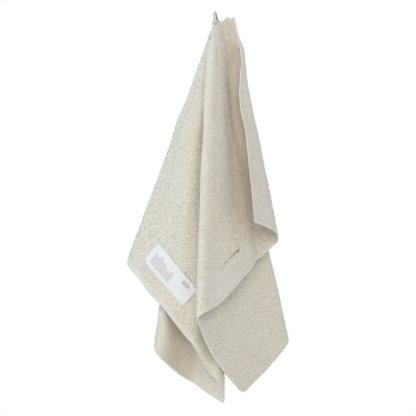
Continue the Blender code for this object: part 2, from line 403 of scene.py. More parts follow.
@dataclass
class Shader:
    """Builds one material's node tree, a node at a time."""

    name: str
    base_color: tuple[float, float, float]
    roughness: float
    sheen: float = 0.0
    specular: float = 0.2
    sheen_roughness: float = 0.6
    noise_detail: float = 2
    cell_smoothness: float = 0.4
    band_softness: float = 0.3
    tree: bpy.types.NodeTree = field(init=False)

    def __post_init__(self) -> None:
        """Makes the material with its shader's even values on the sockets."""
        self.material = bpy.data.materials.new(self.name)
        self.material.use_nodes = True
        self.tree = self.material.node_tree
        self.principled = self.tree.nodes["Principled BSDF"]
        even = {
            "Base Color": (*self.base_color, 1),
            "Roughness": self.roughness,
            "Specular IOR Level": self.specular,
            "Sheen Weight": self.sheen,
            "Sheen Roughness": self.sheen_roughness,
        }
        for socket, value in even.items():
            self.principled.inputs[socket].default_value = value

    def node(self, kind: str, *inputs: object, **settings: object) -> bpy.types.Node:
        """Adds a node.

        Args:
            kind: Blender's name for the node, without "ShaderNode".
            *inputs: A value or a socket for each input in turn, or None to leave it.
            **settings: The node's own settings.

        Returns:
            The node.
        """
        made = self.tree.nodes.new("ShaderNode" + kind)
        for key, value in settings.items():
            setattr(made, key, value)
        for socket, value in zip(made.inputs, inputs):
            feed(self.tree, socket, value)
        return made

    def math(self, operation: str, *values: object) -> bpy.types.NodeSocket:
        """The result of a Math node on these values or sockets."""
        return self.node("Math", *values, operation=operation).outputs[0]

    def attribute(self, name: str) -> bpy.types.Node:
        """The node that reads one of the mesh's own attributes."""
        return self.node("Attribute", attribute_name=name)

    def objects(self) -> bpy.types.NodeSocket:
        """The object's own coordinates, in metres."""
        return self.node("TexCoord").outputs["Object"]

    def pattern(
        self, kind: str, place: bpy.types.NodeSocket, size: float, **settings: object
    ) -> bpy.types.Node:
        """Adds a texture node.

        Args:
            kind: Blender's name for the texture, without "ShaderNodeTex".
            place: The coordinates that it reads.
            size: How large its figures are, in metres.
            **settings: The node's own settings.

        Returns:
            The node.
        """
        made = self.node("Tex" + kind, **settings)
        self.tree.links.new(place, made.inputs["Vector"])
        made.inputs["Scale"].default_value = 1 / size
        return made

    def noise(self, place: bpy.types.NodeSocket, size: float) -> bpy.types.NodeSocket:
        """Noise from 0 to 1.

        Args:
            place: The coordinates that it reads.
            size: How large a bump is, in metres.

        Returns:
            The noise's socket.
        """
        made = self.pattern("Noise", place, size)
        made.inputs["Detail"].default_value = self.noise_detail
        return made.outputs["Fac"]

    def cells(self, place: bpy.types.NodeSocket, size: float) -> bpy.types.NodeSocket:
        """Distance from the middle of the nearest of many small cells.

        Args:
            place: The coordinates that it reads.
            size: How large a cell is, in metres.

        Returns:
            The distance's socket, in cells.
        """
        made = self.pattern("Voronoi", place, size, feature="SMOOTH_F1")
        made.inputs["Smoothness"].default_value = self.cell_smoothness
        return made.outputs["Distance"]

    def bands(self, place: bpy.types.NodeSocket, width: float, way: str) -> bpy.types.Node:
        """The node of a wave across X or Y whose bands lie about this far apart, in metres."""
        size = width * math.pi
        return self.pattern("Wave", place, size, wave_type="BANDS", bands_direction=way)

    def step(self, value: object, low: float, high: float) -> bpy.types.NodeSocket:
        """Rises smoothly from 0 at low to 1 at high."""
        made = self.node("MapRange", value, low, high, interpolation_type="SMOOTHSTEP")
        return made.outputs[0]

    def band(self, value: object, middle: float, half: float) -> bpy.types.NodeSocket:
        """1 near a value and 0 away from it, with soft edges.

        Args:
            value: What is measured.
            middle: The band's middle.
            half: Its half width.

        Returns:
            The mask's socket.
        """
        off = self.math("ABSOLUTE", self.math("SUBTRACT", value, middle))
        soft = self.band_softness
        return self.step(off, half * (1 + soft), half * (1 - soft))

    def window(self, value: object, low: float, high: float, edge: float) -> bpy.types.NodeSocket:
        """1 from low to high, with soft edges.

        Args:
            value: What is measured.
            low: Where the window starts.
            high: Where it ends.
            edge: The half width of its edges.

        Returns:
            The mask's socket.
        """
        return self.every(
            self.step(value, low - edge, low + edge), self.step(value, high + edge, high - edge)
        )

    def every(self, *masks: bpy.types.NodeSocket) -> bpy.types.NodeSocket:
        """The product of these masks.

        Args:
            *masks: The masks, each from 0 to 1.

        Returns:
            The product's socket.
        """
        product = masks[0]
        for mask in masks[1:]:
            product = self.math("MULTIPLY", product, mask)
        return product

    def blend(self, part: object, first: object, second: object) -> bpy.types.NodeSocket:
        """Mixes two colours.

        Args:
            part: How much of the second, 0 to 1.
            first: A colour, or its socket.
            second: A colour, or its socket.

        Returns:
            The mixed colour's socket.
        """
        made = self.node("Mix", data_type="RGBA")
        for socket, value in zip(MIX_SOCKETS, (part, first, second)):
            value = (*value, 1) if isinstance(value, tuple) else value
            feed(self.tree, made.inputs[socket], value)
        return made.outputs[2]

    def paint(self, color: bpy.types.NodeSocket) -> None:
        """Links the base colour."""
        self.tree.links.new(color, self.principled.inputs["Base Color"])

    def bump(self, height: bpy.types.NodeSocket, distance: float, strength: float = 1) -> None:
        """Links a bump.

        Args:
            height: The height's socket, from 0 to 1.
            distance: How far 1 stands up, in metres.
            strength: How much of it shows, 0 to 1.
        """
        made = self.node("Bump")
        made.inputs["Strength"].default_value = strength
        made.inputs["Distance"].default_value = distance
        self.tree.links.new(height, made.inputs["Height"])
        self.tree.links.new(made.outputs[0], self.principled.inputs["Normal"])


@dataclass(frozen=True)
class TerryFinish:
    """Undyed cotton terry: its ground, pile, flat border and hems."""

    cream: tuple[float, float, float] = (0.664, 0.60, 0.505)
    pale: tuple[float, float, float] = (0.682, 0.622, 0.53)
    # A darker tan. It is painted shade in the pile's pits and at the loops' roots, and also the
    # tone of the seam line, of the gathered cloth and of the loops' random unevenness.
    tan_and_pit_shade: tuple[float, float, float] = (0.615, 0.538, 0.428)
    woven: tuple[float, float, float] = (0.67, 0.605, 0.535)
    strip: tuple[float, float, float] = (0.655, 0.57, 0.49)
    hem: tuple[float, float, float] = (0.70, 0.64, 0.575)
    # Painted shadow for the crease along the border's open edge.
    slit_shadow: tuple[float, float, float] = (0.30, 0.215, 0.12)
    sheen: float = 0.25
    roughness: float = 0.95
    patch_size: float = 45 * MM
    patch_step: tuple[float, float] = (0.35, 0.65)
    gather_step: tuple[float, float] = (150 * MM, 10 * MM)
    gather_part: float = 0.2
    loop_size: float = 1.7 * MM
    loop_step: tuple[float, float] = (0.5, 0.9)
    clump_size: float = 5.5 * MM
    clump_step: tuple[float, float] = (0.5, 0.3)
    clump_part: float = 0.4
    thread: float = 0.9 * MM
    thread_waver: float = 1.5
    thread_height: float = 0.3
    evenness: float = 0.8
    blotch_size: float = 7 * MM
    blotch_step: tuple[float, float] = (0.42, 0.62)
    seam_band: tuple[float, float] = (0.6 * MM, 0.9 * MM)
    seam_part: float = 0.5
    soft_edge: float = 0.6 * MM
    middle_edge: float = 1 * MM
    wander: float = 14 * MM
    wander_size: float = 9 * MM
    slit_edge: float = 0.4 * MM
    slit_end: float = 1 * MM
    slit_taper: float = 6
    bump_height: float = 0.7 * MM
    bump_strength: float = 0.7
    root_shade_step: tuple[float, float] = (-0.1, 0.5)
    shade_part: float = 0.3

    def tone(self, shader: Shader, cloth: bpy.types.Node) -> bpy.types.NodeSocket:
        """The terry's own colour, a little uneven, and duller where it is gathered.

        Args:
            shader: The material to build it in.
            cloth: The node that splits the place on the flat towel.

        Returns:
            The colour's socket.
        """
        gathered = shader.step(self.from_gather(shader, cloth), *self.gather_step)
        patches = shader.noise(shader.objects(), self.patch_size)
        even = shader.blend(shader.step(patches, *self.patch_step), self.cream, self.pale)
        return shader.blend(shader.math("MULTIPLY", gathered, self.gather_part), even, self.tan_and_pit_shade)

    @staticmethod
    def from_gather(shader: Shader, cloth: bpy.types.Node) -> bpy.types.NodeSocket:
        """How far each flat place lies from the gathered middle of the long edge.

        Args:
            shader: The material to build it in.
            cloth: The node that splits the place on the flat towel.

        Returns:
            The distance's socket, in metres.
        """
        u, v, _ = cloth.outputs
        squares = shader.math("ADD", shader.math("MULTIPLY", u, u), shader.math("MULTIPLY", v, v))
        return shader.math("SQRT", squares)

    @staticmethod
    def coarse_mask(shader: Shader, cloth: bpy.types.Node) -> bpy.types.NodeSocket:
        """1 on the coarse face, 0 on the fine one."""
        return shader.step(cloth.outputs[2], Face.FINE.value / 2, Face.COARSE.value / 2)

    def border_mask(
        self, shader: Shader, towel: Towel, cloth: bpy.types.Node, end: bpy.types.NodeSocket
    ) -> bpy.types.NodeSocket:
        """1 on the flat woven border, which fades into the terry at its two ends.

        Args:
            shader: The material to build it in.
            towel: The towel, for the border's place.
            cloth: The node that splits the place on the flat towel.
            end: How far each flat place lies from the nearer end.

        Returns:
            The mask's socket.
        """
        u, v, _ = cloth.outputs
        low, high = towel.border_span
        wander = shader.noise(shader.objects(), self.wander_size)
        wander = shader.math("MULTIPLY", wander, self.wander)
        along = shader.math("ADD", v, shader.math("SUBTRACT", wander, self.wander / 2))
        return shader.every(
            shader.step(end, towel.border + self.soft_edge, towel.border - self.soft_edge),
            shader.step(u, 0, self.middle_edge),
            self.coarse_mask(shader, cloth),
            shader.window(along, low, high, towel.border_fade / 2),
        )

    def slit_shadow_mask(self, shader: Shader, cloth: bpy.types.Node) -> bpy.types.NodeSocket:
        """1 in the open edge of the border, where its shadow is painted, tapering towards its far
        end.

        Args:
            shader: The material to build it in.
            cloth: The node that splits the place on the flat towel.

        Returns:
            The mask's socket.
        """
        u, v, _ = cloth.outputs
        (middle, start), (_, end) = np.array(SLIT_SHADOW.line) * MM
        half = SLIT_SHADOW.width * MM
        off = shader.math("ABSOLUTE", shader.math("SUBTRACT", u, middle))
        taper = shader.node("MapRange", v, start, end, half, half / self.slit_taper)
        inside = shader.math("SUBTRACT", taper.outputs[0], off)
        return shader.every(
            shader.step(inside, -self.slit_edge, self.slit_edge),
            shader.window(v, start, end, self.slit_end),
            self.coarse_mask(shader, cloth),
        )

    def inside_hems(
        self, shader: Shader, towel: Towel, cloth: bpy.types.Node, end: bpy.types.NodeSocket
    ) -> bpy.types.NodeSocket:
        """How far each flat place lies inside the hems' inner edges, as Towel.inside_hems has it.

        Args:
            shader: The material to build it in.
            towel: The towel, for the hems' widths.
            cloth: The node that splits the place on the flat towel.
            end: How far each flat place lies from the nearer end.

        Returns:
            The distance's socket, negative on the hems.
        """
        u, v, _ = cloth.outputs
        side = shader.math("MINIMUM", v, shader.math("SUBTRACT", towel.drape.width, v))
        label_half = shader.step(u, self.middle_edge, -self.middle_edge)
        wider = shader.math("MULTIPLY", label_half, towel.label_hem - towel.end_hem)
        from_hem = shader.math("SUBTRACT", end, shader.math("ADD", wider, towel.end_hem))
        away = self.from_gather(shader, cloth)
        side_hem = shader.math("MULTIPLY", shader.step(away, *towel.hem_hidden), towel.side_hem)
        return shader.math("MINIMUM", from_hem, shader.math("SUBTRACT", side, side_hem))

    def ground(self, towel: Towel) -> bpy.types.Material:
        """The finish of the cloth itself, by its place on the flat towel.

        Args:
            towel: The towel, for the places of its hems and border.

        Returns:
            The material.
        """
        shader = Shader("cream terry", self.cream, self.roughness, sheen=self.sheen)
        place = shader.attribute("cloth").outputs["Vector"]
        cloth = shader.node("SeparateXYZ", place)
        u = cloth.outputs[0]
        end = shader.math("SUBTRACT", towel.drape.length / 2, shader.math("ABSOLUTE", u))
        inside = self.inside_hems(shader, towel, cloth, end)
        hem = shader.step(inside, self.soft_edge, -self.soft_edge)
        seam = shader.math("MULTIPLY", shader.band(inside, *self.seam_band), self.seam_part)
        border = self.border_mask(shader, towel, cloth, end)

        loops = shader.cells(shader.objects(), self.loop_size)
        clumps = shader.noise(shader.objects(), self.clump_size)
        # Painted shade: the pits where the pile's clumps part, and the edges of each loop's cell,
        # darken to the tan.
        clump_pit_shade = shader.math("MULTIPLY", shader.step(clumps, *self.clump_step), self.clump_part)
        terry = shader.blend(clump_pit_shade, self.tone(shader, cloth), self.tan_and_pit_shade)
        terry = shader.blend(shader.step(loops, *self.loop_step), terry, self.tan_and_pit_shade)

        threads = shader.bands(place, self.thread, "Y")
        threads.inputs["Distortion"].default_value = self.thread_waver
        weave = shader.blend(threads.outputs["Fac"], self.strip, self.woven)
        woven = shader.blend(self.evenness, weave, self.woven)
        strip = shader.band(end, towel.strip_middle, towel.strip_half)
        woven = shader.blend(strip, woven, self.strip)
        blotches = shader.step(shader.noise(place, self.blotch_size), *self.blotch_step)
        hem_color = shader.blend(blotches, self.hem, self.cream)

        color = shader.blend(border, terry, woven)
        color = shader.blend(hem, color, hem_color)
        color = shader.blend(seam, color, self.tan_and_pit_shade)
        # The border's open edge gets painted shadow.
        shader.paint(shader.blend(self.slit_shadow_mask(shader, cloth), color, self.slit_shadow))

        rough = shader.math("SUBTRACT", clumps, loops)
        smooth = shader.math("MULTIPLY", threads.outputs["Fac"], self.thread_height)
        height = shader.node("Mix", shader.math("MAXIMUM", border, hem), None, rough, smooth)
        shader.bump(height.outputs[0], self.bump_height, self.bump_strength)
        return shader.material

    def loops(self) -> bpy.types.Material:
        """The finish of the pile's yarn, with painted shade at its roots, and a little uneven from
        loop to loop.

        Returns:
            The material.
        """
        shader = Shader("cream pile yarn", self.cream, self.roughness, sheen=self.sheen)
        cloth = shader.node("SeparateXYZ", shader.attribute("cloth").outputs["Vector"])
        tip = shader.step(shader.attribute("tip").outputs["Fac"], *self.root_shade_step)
        shade = shader.attribute("shade").outputs["Fac"]
        shade = shader.math("MULTIPLY", shade, self.shade_part)
        yarn = shader.blend(shade, self.tone(shader, cloth), self.tan_and_pit_shade)
        # The loops' roots get painted shade.
        shader.paint(shader.blend(tip, self.tan_and_pit_shade, yarn))
        return shader.material


@dataclass(frozen=True)
class ThreadFinish:
    """Cotton sewing thread."""

    color: tuple[float, float, float] = (0.80, 0.73, 0.66)
    dark: tuple[float, float, float] = (0.70, 0.665, 0.575)
    roughness: float = 0.7
    sheen: float = 0.1
    twist_size: float = 0.5 * MM
    twist_height: float = 0.1 * MM

    def material(self, name: str) -> bpy.types.Material:
        """Thread with a twist in it.

        Args:
            name: The material's name.

        Returns:
            The material.
        """
        shader = Shader(name, self.color, self.roughness, sheen=self.sheen)
        twist = shader.noise(shader.objects(), self.twist_size)
        shader.paint(shader.blend(twist, self.dark, self.color))
        shader.bump(twist, self.twist_height)
        return shader.material


@dataclass(frozen=True)
class TapeFinish:
    """Ribbed cotton tape, with painted shade on the limb that goes down behind."""

    cream: tuple[float, float, float] = (0.78, 0.70, 0.61)
    rib: tuple[float, float, float] = (0.64, 0.55, 0.445)
    # Painted shade for the inner face of the limb that goes down behind.
    back_limb_shade: tuple[float, float, float] = (0.36, 0.27, 0.185)
    roughness: float = 0.85
    sheen: float = 0.15
    rib_width: float = 0.8 * MM
    rib_height: float = 0.3 * MM
    back_limb_shade_step: tuple[float, float] = (-3 * MM, 4 * MM)

    def material(self, over_top: float) -> bpy.types.Material:
        """The tape's weave along it, from its own place attribute.

        Args:
            over_top: How far along the tape its highest point is.

        Returns:
            The material.
        """
        shader = Shader("cream tape", self.cream, self.roughness, sheen=self.sheen)
        place = shader.attribute("cloth").outputs["Vector"]
        run = shader.node("SeparateXYZ", place).outputs[0]
        ribs = shader.bands(place, self.rib_width, "X").outputs["Fac"]
        fresh = shader.blend(ribs, self.rib, self.cream)
        # Painted shade: past the top of the loop, the limb that goes down behind is darkened.
        behind = shader.step(run, *(over_top + off for off in self.back_limb_shade_step))
        shader.paint(shader.blend(behind, fresh, self.back_limb_shade))
        shader.bump(ribs, self.rib_height)
        return shader.material


@dataclass(frozen=True)
class LabelFinish:
    """White satin, with plain printed rules that say nothing."""

    white: tuple[float, float, float] = (0.74, 0.69, 0.67)
    ink: tuple[float, float, float] = (0.10, 0.10, 0.11)
    ink_part: float = 0.85
    roughness: float = 0.6
    sheen: float = 0.1
    weave_size: float = 0.8 * MM
    weave_height: float = 0.15 * MM
    soft_edge: float = 0.2 * MM
    rule_pitch: float = 4 * MM
    rule_part: float = 0.13
    margin: float = 13 * MM
    short_rule: float = 14 * MM
    rule_spread: float = 10 * MM
    rules: tuple[float, float] = (-44 * MM, 6 * MM)
    dash_pitch: float = 3.5 * MM
    dash_weight: float = 1.5
    dash_length: float = 7 * MM
    dashes: tuple[float, float] = (24 * MM, 43 * MM)

    def material(self) -> bpy.types.Material:
        """Satin weave, with rules of uneven length across one part and dashes across another.

        Returns:
            The material.
        """
        shader = Shader("white woven label", self.white, self.roughness, sheen=self.sheen)
        place = shader.attribute("cloth").outputs["Vector"]
        x, y, _ = shader.node("SeparateXYZ", place).outputs
        row = shader.math("DIVIDE", y, self.rule_pitch)
        chance = shader.node("TexWhiteNoise", noise_dimensions="1D")
        shader.tree.links.new(shader.math("FLOOR", row), chance.inputs["W"])
        spare = shader.math("MULTIPLY", chance.outputs["Value"], self.rule_spread)
        run = shader.math("SUBTRACT", shader.math("ADD", x, self.margin), spare)
        edge = self.soft_edge
        rules = shader.every(
            shader.band(shader.math("FRACT", row), 0.5, self.rule_part),
            shader.step(x, -self.margin - edge, -self.margin + edge),
            shader.step(run, self.short_rule + edge, self.short_rule - edge),
            shader.window(y, *self.rules, edge),
        )
        dash = shader.math("DIVIDE", y, self.dash_pitch)
        dashes = shader.every(
            shader.band(shader.math("FRACT", dash), 0.5, self.rule_part * self.dash_weight),
            shader.window(x, self.margin - self.dash_length, self.margin, edge),
            shader.window(y, *self.dashes, edge),
        )
        ink = shader.math("MULTIPLY", shader.math("MAXIMUM", rules, dashes), self.ink_part)
        shader.paint(shader.blend(ink, self.white, self.ink))
        shader.bump(shader.noise(place, self.weave_size), self.weave_height)
        return shader.material


def link_object(name: str, mesh: bpy.types.Mesh) -> bpy.types.Object:
    """Links a mesh into the scene as the object of this name.

    Args:
        name: The object's name.
        mesh: Its mesh.

    Returns:
        The object.
    """
    made = bpy.data.objects.new(name, mesh)
    bpy.context.scene.collection.objects.link(made)
    return made


def thick_sheet(name: str, over: np.ndarray, under: np.ndarray) -> bpy.types.Object:
    """A closed sheet between two grids of points, smooth but for its rim.

    Args:
        name: The object's name.
        over: The points of the face that looks out in front, as rows by columns by 3.
        under: The points of the other face.

    Returns:
        The object, its first half of vertices on the over face.
    """
    rows, columns = over.shape[:2]
    i, j = np.meshgrid(np.arange(rows - 1), np.arange(columns - 1), indexing="ij")
    first = (i * columns + j).ravel()
    quads = np.column_stack((first, first + 1, first + columns + 1, first + columns))
    count = rows * columns
    low, high = np.arange(columns - 1), np.arange(rows - 1) * columns
    around = np.concatenate(
        (low, high + columns - 1, (count - 1) - low, (count - columns) - high)
    )
    following = np.concatenate(
        (low + 1, high + 2 * columns - 1, (count - 2) - low, (count - 2 * columns) - high)
    )
    rim = np.column_stack((following, around, around + count, following + count))
    faces = np.concatenate((quads, quads[:, ::-1] + count, rim))
    mesh = bpy.data.meshes.new(name)
    points = np.concatenate((over.reshape(-1, 3), under.reshape(-1, 3)))
    mesh.from_pydata(points.tolist(), [], faces.tolist())
    mesh.shade_smooth()
    return link_object(name, mesh)


def set_attribute(mesh: bpy.types.Mesh, name: str, values: np.ndarray) -> None:
    """Stores one vector for each vertex of a mesh."""
    mesh.attributes.new(name, "FLOAT_VECTOR", "POINT").data.foreach_set("vector", values.ravel())


@dataclass
class Towel:
    """The cloth: hems, flat woven borders and the ground that the pile stands on."""

    drape: Drape
    columns: int = 404
    body_rows: int = 86
    hem_rows: int = 30
    hem_reach: float = 56 * MM
    end_hem: float = 7 * MM
    label_hem: float = 11 * MM
    side_hem: float = 4 * MM
    corner: float = 14 * MM
    label_corner: float = 4 * MM
    label_middle: tuple[float, float] = (-352 * MM, 251 * MM)
    label_size: tuple[float, float] = (40 * MM, 112 * MM)
    border: float = 45 * MM
    hem_hidden: tuple[float, float] = (30 * MM, 90 * MM)
    border_span: tuple[float, float] = (164 * MM, 268 * MM)
    border_fade: float = 26 * MM
    border_edge: float = 1 * MM
    strip_middle: float = 27 * MM
    strip_half: float = 3.5 * MM
    pile_half: float = 1.3 * MM
    border_half: float = 0.9 * MM
    pile_edge: float = 2 * MM
    hem_half: float = 1.3 * MM
    hem_edge: float = 1 * MM
    rim_part: float = 0.45
    rim_round: float = 1.5 * MM
    gather_reach: float = 110 * MM
    gather_part: float = 0.6
    ripple: float = 1.3 * MM
    ripple_size: float = 34 * MM
    ripple_stretch: tuple[float, float] = (0.4, 0.35)
    ripple_start: tuple[float, float] = (60 * MM, 200 * MM)
    ripple_seed: int = 5
    finish: TerryFinish = TerryFinish()

    def shape(self) -> None:
        """Works out the middle surface, its normals and the offset of each face."""
        rims = self.drape.spread_ribs(self.columns)
        lengths, stop = self.cut(rims)
        hem_start = stop - self.hem_reach / lengths
        body = np.linspace(0, 1, self.body_rows)[:, None] * hem_start
        hem = hem_start + np.linspace(0, 1, self.hem_rows + 1)[1:, None] * (stop - hem_start)
        middle, self.flat = self.drape.grid(rims, np.concatenate((body, hem)))
        self.normals = surface_normals(middle)
        lift = self.drape.crease_heights(self.flat) + self.ripples()
        self.middle = middle + self.normals * lift[..., None]
        self.normals = surface_normals(self.middle)
        self.faces = {
            face: self.middle
            + face.value * self.normals * self.half_thickness(face)[..., None]
            for face in Face
        }

    def cut(self, rims: np.ndarray) -> tuple[np.ndarray, np.ndarray]:
        """Each rib's flat length, and the part of it that the rounded corners leave.

        Args:
            rims: Where each rib meets the rim.

        Returns:
            The lengths, in metres, and the parts, 0 to 1.
        """
        edges = np.interp(rims, self.drape.rims, self.drape.edges)
        angles, lengths = self.drape.flat_fall(rims, edges)
        ends = self.drape.flat_rim(rims)
        ways = np.column_stack((np.cos(angles), np.sin(angles)))
        radius = np.where(ends[:, 0] < 0, self.label_corner, self.corner)
        across = np.sign(ends[:, 0]) * (self.drape.length / 2 - radius)
        middle = np.column_stack((across, self.drape.width - radius))
        off = ends - middle
        outside = (np.abs(ends[:, 0]) > np.abs(middle[:, 0])) & (ends[:, 1] > middle[:, 1])
        along = (off * ways).sum(axis=1)
        root = np.maximum(along**2 - (off**2).sum(axis=1) + radius**2, 0)
        back = np.where(outside, along - np.sqrt(root), 0)
        return lengths, 1 - np.maximum(back, 0) / lengths

    def ripples(self) -> np.ndarray:
        """Small waves in the cloth, longer down the towel than across it, none at the gather.

        Returns:
            How far they lift each point of the grid, in metres.
        """
        away = np.linalg.norm(self.flat, axis=-1)
        angle = np.arctan2(self.flat[..., 1], self.flat[..., 0])
        places = np.stack((angle, away), axis=-1) * self.ripple_stretch
        waves = soft_noise(places, self.ripple_size, self.ripple_seed)
        waves += soft_noise(places, self.ripple_size / 2, self.ripple_seed + 1) / 2
        return self.ripple * waves * smooth_step(away, *self.ripple_start)

    def edge_distances(self, flat: np.ndarray) -> tuple[np.ndarray, np.ndarray]:
        """How far flat places lie from the towel's ends, and from its long edges."""
        u, v = flat[..., 0], flat[..., 1]
        return self.drape.length / 2 - np.abs(u), np.minimum(v, self.drape.width - v)

    def inside_hems(self, flat: np.ndarray) -> np.ndarray:
        """How far flat places lie inside the hems' inner edges, negative on the hems.

        Args:
            flat: Flat places, in metres, as an array whose last axis is (u, v).

        Returns:
            The distances, in metres, without that axis.
        """
        end, side = self.edge_distances(flat)
        end_hem = np.where(flat[..., 0] < 0, self.label_hem, self.end_hem)
        away = np.linalg.norm(flat, axis=-1)
        side_hem = self.side_hem * smooth_step(away, *self.hem_hidden)
        return np.minimum(end - end_hem, side - side_hem)

    def in_border(self, flat: np.ndarray) -> np.ndarray:
        """1 on the flat woven border of the coarse face, fading to 0 round it.

        Args:
            flat: Flat places, in metres, as an array whose last axis is (u, v).

        Returns:
            The mask, without that axis.
        """
        u, v = flat[..., 0], flat[..., 1]
        fade = self.border_fade / 2
        inner = self.drape.length / 2 - self.border
        low, high = self.border_span
        part = smooth_step(u, inner - self.border_edge, inner + self.border_edge)
        part *= smooth_step(v, low - fade, low + fade)
        return part * smooth_step(v, high + fade, high - fade)

    def pile_part(self, flat: np.ndarray, face: Face) -> np.ndarray:
        """Where the pile of one face stands, 0 on the hems and the border to 1 on the terry.

        Args:
            flat: Flat places, in metres, as an array whose last axis is (u, v).
            face: Which face.

        Returns:
            The mask, without that axis.
        """
        part = smooth_step(self.inside_hems(flat), 0, self.pile_edge)
        if face is Face.COARSE:
            part *= 1 - self.in_border(flat)
            from_label = np.abs(flat - self.label_middle) - np.array(self.label_size) / 2
            part *= from_label.max(axis=-1) > 0
        return part

    def half_thickness(self, face: Face) -> np.ndarray:
        """Half of the ground's thickness at each point of the grid, on one face.

        Args:
            face: Which face.

        Returns:
            The half thicknesses, in metres.
        """
        pile = self.pile_part(self.flat, face)
        half = self.border_half + (self.pile_half - self.border_half) * pile
        hem = smooth_step(self.inside_hems(self.flat), self.hem_edge, -self.hem_edge)
        half += (self.hem_half - half) * hem
        rim = np.minimum(*self.edge_distances(self.flat))
        half *= self.rim_part + (1 - self.rim_part) * smooth_step(rim, 0, self.rim_round)
        away = np.linalg.norm(self.flat, axis=-1) / self.gather_reach
        return half * (self.gather_part + (1 - self.gather_part) * np.clip(away, 0, 1))

    def build(self) -> bpy.types.Object:
        """Makes the cloth's mesh and gives it its finish.

        Returns:
            The piece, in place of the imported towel.
        """
        self.shape()
        towel = thick_sheet("terry_cloth", self.faces[Face.COARSE], self.faces[Face.FINE])
        flat = self.flat.reshape(-1, 2)
        ones = np.ones((len(flat), 1))
        cloth = np.concatenate((np.hstack((flat, ones)), np.hstack((flat, -ones))))
        set_attribute(towel.data, "cloth", cloth)
        towel.data.materials.append(self.finish.ground(self))
        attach(towel, BODY)
        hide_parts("towel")
        return towel


@dataclass
class GeometryTree:
    """Builds one Geometry Nodes tree, a node at a time."""

    name: str

    def __post_init__(self) -> None:
        """Makes the tree with its geometry in and out."""
        self.tree = bpy.data.node_groups.new(self.name, "GeometryNodeTree")
        self.sockets: dict[str, str] = {}
        self.add_input("Geometry", "NodeSocketGeometry")
        self.tree.interface.new_socket(
            name="Geometry", in_out="OUTPUT", socket_type="NodeSocketGeometry"
        )
        self.start = self.tree.nodes.new("NodeGroupInput")
        self.end = self.tree.nodes.new("NodeGroupOutput")

    def add_input(self, name: str, kind: str = "NodeSocketFloat") -> None:
        """Adds a named input and keeps its identifier."""
        socket = self.tree.interface.new_socket(name=name, in_out="INPUT", socket_type=kind)
        self.sockets[name] = socket.identifier

    def value(self, name: str) -> bpy.types.NodeSocket:
        """The socket inside the tree of one of its inputs."""
        return self.start.outputs[name]

    def node(
        self, kind: str, inputs: dict[str | int, object], **settings: object
    ) -> bpy.types.Node:
        """Adds a node.

        Args:
            kind: Blender's name for the node.
            inputs: A value or a socket for each input, by its name or its place in the row.
            **settings: The node's own settings.

        Returns:
            The node.
        """
        made = self.tree.nodes.new(kind)
        for key, value in settings.items():
            setattr(made, key, value)
        for key, value in inputs.items():
            feed(self.tree, made.inputs[key], value)
        return made

    def divide(self, value: bpy.types.NodeSocket, by: object) -> bpy.types.NodeSocket:
        """One value over another."""
        return self.node("ShaderNodeMath", {0: value, 1: by}, operation="DIVIDE").outputs[0]

    def named(self, name: str) -> bpy.types.NodeSocket:
        """Reads a vector that the bed's points carry."""
        kind = "GeometryNodeInputNamedAttribute"
        return self.node(kind, {"Name": name}, data_type="FLOAT_VECTOR").outputs["Attribute"]

    def store(
        self, geometry: bpy.types.NodeSocket, name: str, value: bpy.types.NodeSocket, domain: str
    ) -> bpy.types.NodeSocket:
        """Keeps a number on a geometry under a name.

        Args:
            geometry: The geometry.
            name: The attribute's name.
            value: The number.
            domain: What carries it, "POINT" or "INSTANCE".

        Returns:
            The geometry that carries it.
        """
        inputs = {"Geometry": geometry, "Name": name, "Value": value}
        kind = "GeometryNodeStoreNamedAttribute"
        return self.node(kind, inputs, data_type="FLOAT", domain=domain).outputs[0]

    def random(self, low: object, high: object, seed: object) -> bpy.types.NodeSocket:
        """A random number for each point."""
        inputs = dict(zip(RANDOM_SOCKETS, (low, high, seed)))
        return self.node("FunctionNodeRandomValue", inputs, data_type="FLOAT").outputs[1]

    def finish(self, geometry: bpy.types.NodeSocket) -> None:
        """Ends the tree in Realize Instances and Set Material.

        Args:
            geometry: What the tree has made.
        """
        whole = self.node("GeometryNodeRealizeInstances", {"Geometry": geometry})
        smooth = self.node("GeometryNodeSetShadeSmooth", {"Geometry": whole.outputs[0]})
        inputs = {"Geometry": smooth.outputs[0], "Material": self.value("Material")}
        dressed = self.node("GeometryNodeSetMaterial", inputs)
        self.tree.links.new(dressed.outputs[0], self.end.inputs[0])

    def make(self, name: str, bed: bpy.types.Mesh, values: dict[str, object]) -> bpy.types.Object:
        """Runs the tree over a bed of points and keeps the result as a plain mesh.

        Args:
            name: The new object's name.
            bed: The points, with the attributes that the tree reads.
            values: A value for each named input.

        Returns:
            The new object.
        """
        holder = link_object(name + "_bed", bed)
        modifier = holder.modifiers.new(self.name, "NODES")
        modifier.node_group = self.tree
        for key, value in values.items():
            modifier[self.sockets[key]] = value
        graph = bpy.context.evaluated_depsgraph_get()
        mesh = bpy.data.meshes.new_from_object(
            holder.evaluated_get(graph), preserve_all_data_layers=True, depsgraph=graph
        )
        mesh.name = name
        holder.modifiers.remove(modifier)
        bpy.data.objects.remove(holder)
        return link_object(name, mesh)


